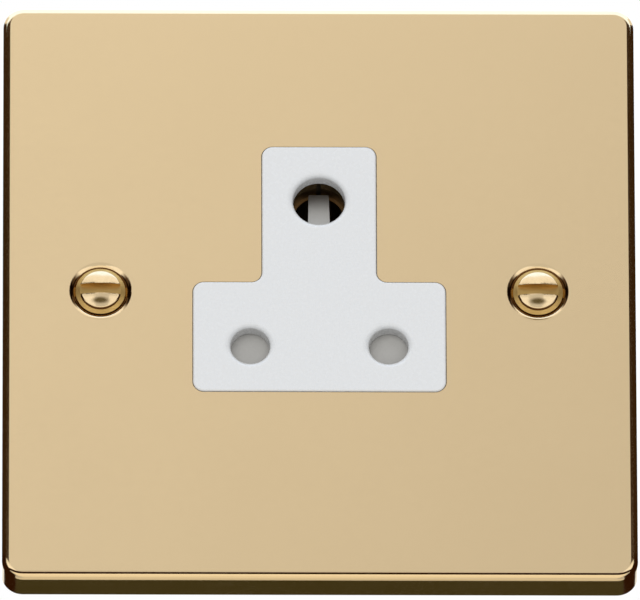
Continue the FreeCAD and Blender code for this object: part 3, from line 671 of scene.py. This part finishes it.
stud_low, stud_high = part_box("plate_studs")
stud_crest = 1.5 * mm
stud_root = 1.23 * mm
stud_pitch = 0.5 * mm
stud_point = 0.3 * mm
stud_places = [(-20.3 * mm, 13.5 * mm), (20.3 * mm, 13.5 * mm),
               (-14.0 * mm, -24.9 * mm), (14.0 * mm, -24.9 * mm)]
studs = bmesh.new()
for stud_x, stud_z in stud_places:
    add_thread(studs, stud_crest, stud_root, stud_pitch, stud_low.y, stud_high.y, stud_point,
               stud_x, stud_z, steps=40)
plate_studs = finished_object("plate_studs_threaded", studs, math.radians(35))
plate_studs.data.materials.append(turned_brass)
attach(plate_studs, "socket")
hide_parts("plate_studs")


# Studio: a pale floor far below, soft lamps, and cards that show in reflections alone.
# The dark cards make the brown bands along the plate's sides, the bright ones its cream face.
# Floor, cards and lamps aren't part of the socket.

def plain_emission(name, tint, strength):
    """Material that gives off an even light, or almost none."""
    material = bpy.data.materials.new(name)
    material.use_nodes = True
    tree = material.node_tree
    tree.nodes.clear()
    glow = tree.nodes.new("ShaderNodeEmission")
    glow.inputs["Color"].default_value = (*tint, 1)
    glow.inputs["Strength"].default_value = strength
    result = tree.nodes.new("ShaderNodeOutputMaterial")
    tree.links.new(glow.outputs["Emission"], result.inputs["Surface"])
    return material


def only_reflected(card):
    """Shows a card in reflections alone."""
    card.visible_camera = False
    card.visible_diffuse = False
    card.visible_transmission = False
    card.visible_volume_scatter = False
    card.visible_shadow = False


card_distance = 0.6


def curved_card(name, turn, lift, material):
    """Card on a sphere about the plate, over a range of turn from the front and lift, in degrees."""
    bm = bmesh.new()
    rows = []
    count = 12
    for i in range(count + 1):
        t = math.radians(turn[0] + (turn[1] - turn[0]) * i / count)
        row = []
        for j in range(count + 1):
            e = math.radians(lift[0] + (lift[1] - lift[0]) * j / count)
            place = Vector((math.sin(t) * math.cos(e), -math.cos(t) * math.cos(e), math.sin(e)))
            row.append(bm.verts.new(place * card_distance))
        rows.append(row)
    for near, far in zip(rows, rows[1:]):
        for j in range(count):
            bm.faces.new((near[j], near[j + 1], far[j + 1], far[j]))
    mesh = bpy.data.meshes.new(name)
    bm.to_mesh(mesh)
    bm.free()
    card = bpy.data.objects.new(name, mesh)
    card.data.materials.append(material)
    bpy.context.scene.collection.objects.link(card)
    only_reflected(card)


side_card = plain_emission("side_card", (1.0, 0.5, 0.16), 0.042)
rear_card = plain_emission("rear_card", (1.0, 0.84, 0.30), 0.06)
edge_card = plain_emission("edge_card", (1.0, 0.3, 0.05), 0.03)
sky_card = plain_emission("sky_card", (0.62, 0.76, 1.0), 2.3)
fill_card = plain_emission("fill_card", (1.0, 1.0, 1.0), 1.25)


def graded_emission(name, tint, slope, level, lowest):
    """Card light that rises along a slope from its level at the origin, down to a lowest level."""
    material = plain_emission(name, tint, level)
    tree = material.node_tree
    glow = tree.nodes["Emission"]
    place = tree.nodes.new("ShaderNodeTexCoord")
    rise = tree.nodes.new("ShaderNodeVectorMath")
    rise.operation = "DOT_PRODUCT"
    rise.inputs[1].default_value = slope
    strength = tree.nodes.new("ShaderNodeMath")
    strength.operation = "ADD"
    strength.inputs[1].default_value = level
    tree.links.new(place.outputs["Object"], rise.inputs[0])
    tree.links.new(rise.outputs["Value"], strength.inputs[0])
    least = tree.nodes.new("ShaderNodeMath")
    least.operation = "MAXIMUM"
    least.inputs[1].default_value = lowest
    tree.links.new(strength.outputs["Value"], least.inputs[0])
    tree.links.new(least.outputs["Value"], glow.inputs["Strength"])
    return material


front_card = graded_emission(
    "front_card", (1.0, 1.0, 1.0), slope=(-1.1, 0.0, 1.05), level=0.60, lowest=0.77)
ground_card = graded_emission(
    "ground_card", (1.0, 0.95, 0.84), slope=(0.0, -0.5, 0.0), level=0.95, lowest=0.5)

curved_card("front_softbox", turn=(-13, 13), lift=(-28, 33), material=front_card)
curved_card("upper_softbox", turn=(-70, 70), lift=(37, 52), material=fill_card)
curved_card("bridge_softbox", turn=(-13, 13), lift=(33, 37), material=fill_card)
curved_card("left_fill", turn=(-50, -13), lift=(-28, 10), material=fill_card)
curved_card("right_fill", turn=(13, 50), lift=(-28, 10), material=fill_card)
curved_card("top_softbox", turn=(-180, 180), lift=(52, 90), material=sky_card)
curved_card("back_softbox", turn=(150, 210), lift=(20, 52), material=sky_card)
curved_card("ground_reflector", turn=(-50, 50), lift=(-138, -29), material=ground_card)
curved_card("left_flag", turn=(-149, -13), lift=(17, 36), material=side_card)
curved_card("right_flag", turn=(13, 149), lift=(17, 36), material=side_card)
curved_card("left_low_flag", turn=(-149, -50), lift=(-13, 17), material=side_card)
curved_card("right_low_flag", turn=(50, 149), lift=(-13, 17), material=side_card)
curved_card("rear_flag", turn=(150, 210), lift=(-41, -17), material=rear_card)


def flat_card(name, low, high, material):
    """Flat card between two corners that share one coordinate."""
    bm = bmesh.new()
    if low[0] == high[0]:
        corners = [low, (low[0], high[1], low[2]), high, (low[0], low[1], high[2])]
    else:
        corners = [low, (high[0], low[1], low[2]), high, (low[0], low[1], high[2])]
    bm.faces.new([bm.verts.new(corner) for corner in corners])
    card = finished_object(name, bm, math.radians(30))
    card.data.materials.append(material)
    only_reflected(card)


low_gap = 3 * mm
low_overhang = 5 * mm
flat_card("low_flag",
          (plate_low.x - low_overhang, plate_low.y - low_gap, plate_low.z - 1.15 * mm),
          (plate_high.x + low_overhang, plate_low.y - low_gap, plate_low.z + 0.95 * mm), edge_card)
top_gap = 6 * mm
top_overhang = 12 * mm
flat_card("top_reflector",
          (plate_low.x - top_overhang, plate_low.y - top_gap, plate_high.z + 3.2 * mm),
          (plate_high.x + top_overhang, plate_low.y - top_gap, plate_high.z + 14 * mm), sky_card)
corner_gap = 9 * mm
for side, way in (("left", -1), ("right", 1)):
    card_x = way * (plate_high.x + corner_gap)
    flat_card(side + "_corner_flag", (card_x, plate_low.y - 6 * mm, plate_low.z - 18 * mm),
              (card_x, plate_low.y + 40 * mm, plate_low.z + 8 * mm), edge_card)


def soft_disc(name, middle, width, height, tint, strength):
    """Small upright disc of light that fades out towards its rim."""
    material = bpy.data.materials.new(name)
    material.use_nodes = True
    tree = material.node_tree
    tree.nodes.clear()
    place = tree.nodes.new("ShaderNodeTexCoord")
    span = tree.nodes.new("ShaderNodeVectorMath")
    span.operation = "LENGTH"
    fade = tree.nodes.new("ShaderNodeMapRange")
    fade.interpolation_type = "SMOOTHSTEP"
    fade.inputs["From Min"].default_value = 0.35
    fade.inputs["From Max"].default_value = 1.0
    clear = tree.nodes.new("ShaderNodeBsdfTransparent")
    glow = tree.nodes.new("ShaderNodeEmission")
    glow.inputs["Color"].default_value = (*tint, 1)
    glow.inputs["Strength"].default_value = strength
    blend = tree.nodes.new("ShaderNodeMixShader")
    result = tree.nodes.new("ShaderNodeOutputMaterial")
    tree.links.new(place.outputs["Object"], span.inputs[0])
    tree.links.new(span.outputs["Value"], fade.inputs["Value"])
    tree.links.new(fade.outputs["Result"], blend.inputs["Fac"])
    tree.links.new(glow.outputs["Emission"], blend.inputs[1])
    tree.links.new(clear.outputs["BSDF"], blend.inputs[2])
    tree.links.new(blend.outputs["Shader"], result.inputs["Surface"])
    bm = bmesh.new()
    bmesh.ops.create_circle(bm, cap_ends=True, segments=48, radius=1)
    disc = finished_object(name, bm, math.radians(30))
    disc.location = middle
    disc.scale = (width / 2, height / 2, 1)
    disc.rotation_euler = (math.radians(90), 0, 0)
    disc.data.materials.append(material)
    only_reflected(disc)


for side, way in (("left", -1), ("right", 1)):
    soft_disc(side + "_dome_flag", middle=(way * screw_spacing / 2, crown - 2.5 * mm, -1.75 * mm),
              width=5.0 * mm, height=2.0 * mm, tint=(1.0, 0.84, 0.45), strength=0.14)

floor_height = -6.5
floor_radius = 12.0
floor_mesh = bmesh.new()
bmesh.ops.create_circle(floor_mesh, cap_ends=True, segments=96, radius=floor_radius,
                        matrix=Matrix.Translation((0, 0, floor_height)))
floor = finished_object("pale_floor", floor_mesh, math.radians(30))
floor_paint = plastic(
    "floor_paint", (0.82, 0.82, 0.81), (0.79, 0.79, 0.78), smooth=0.6, rough=0.75,
    flow=2.0, grain=90.0, bump_strength=0.05, bump_depth=1 * mm)
floor.data.materials.append(floor_paint)


def soft_lamp(name, place, size, power):
    """Square area lamp that faces the plate."""
    data = bpy.data.lights.new(name, "AREA")
    data.size = size
    data.energy = power
    lamp = bpy.data.objects.new(name, data)
    lamp.location = place
    lamp.rotation_mode = "QUATERNION"
    lamp.rotation_quaternion = (-Vector(place)).to_track_quat("-Z", "Y")
    lamp.visible_glossy = False
    bpy.context.scene.collection.objects.link(lamp)


soft_lamp("key_lamp", place=(-0.5, -1.6, 0.2), size=0.9, power=4.5)
soft_lamp("low_lamp", place=(0.35, -1.5, -0.75), size=0.9, power=3.0)

world = bpy.data.worlds.new("studio")
bpy.context.scene.world = world
world.use_nodes = True
tree = world.node_tree
background = tree.nodes["Background"]
background.inputs["Color"].default_value = (1, 1, 1, 1)
rays = tree.nodes.new("ShaderNodeLightPath")
seen = tree.nodes.new("ShaderNodeMath")
seen.operation = "MAXIMUM"
tree.links.new(rays.outputs["Is Camera Ray"], seen.inputs[0])
tree.links.new(rays.outputs["Is Glossy Ray"], seen.inputs[1])
seen_through = tree.nodes.new("ShaderNodeMath")
seen_through.operation = "MAXIMUM"
tree.links.new(seen.outputs["Value"], seen_through.inputs[0])
tree.links.new(rays.outputs["Is Transmission Ray"], seen_through.inputs[1])
level = tree.nodes.new("ShaderNodeMapRange")
level.inputs["To Min"].default_value = 0.75
level.inputs["To Max"].default_value = 1.0
tree.links.new(seen_through.outputs["Value"], level.inputs["Value"])
tree.links.new(level.outputs["Result"], background.inputs["Strength"])


# Camera: a long lens far below and in front, as the photograph looks up at the plate.

camera_turn = math.radians(-0.697)
camera_lift = math.radians(-25.875)
camera_roll = math.radians(-0.163)
camera_distance = 3673.6 * mm
look_at = Vector((0.093 * mm, -5.6 * mm, -1.365 * mm))
back = Vector((math.sin(camera_turn) * math.cos(camera_lift),
               -math.cos(camera_turn) * math.cos(camera_lift), math.sin(camera_lift)))
camera_data = bpy.data.cameras.new("photo_camera")
camera_data.lens = 1500
camera_data.sensor_width = 36
camera_data.clip_start = 0.5
camera_data.clip_end = 20
camera = bpy.data.objects.new("photo_camera", camera_data)
camera.rotation_mode = "QUATERNION"
turned_back = (-back).to_track_quat("-Z", "Y").to_matrix() @ Matrix.Rotation(camera_roll, 3, "Z")
camera.rotation_quaternion = turned_back.to_quaternion()
camera.location = look_at + back * camera_distance
bpy.context.scene.collection.objects.link(camera)
bpy.context.scene.camera = camera
bpy.context.scene.view_settings.view_transform = "Standard"
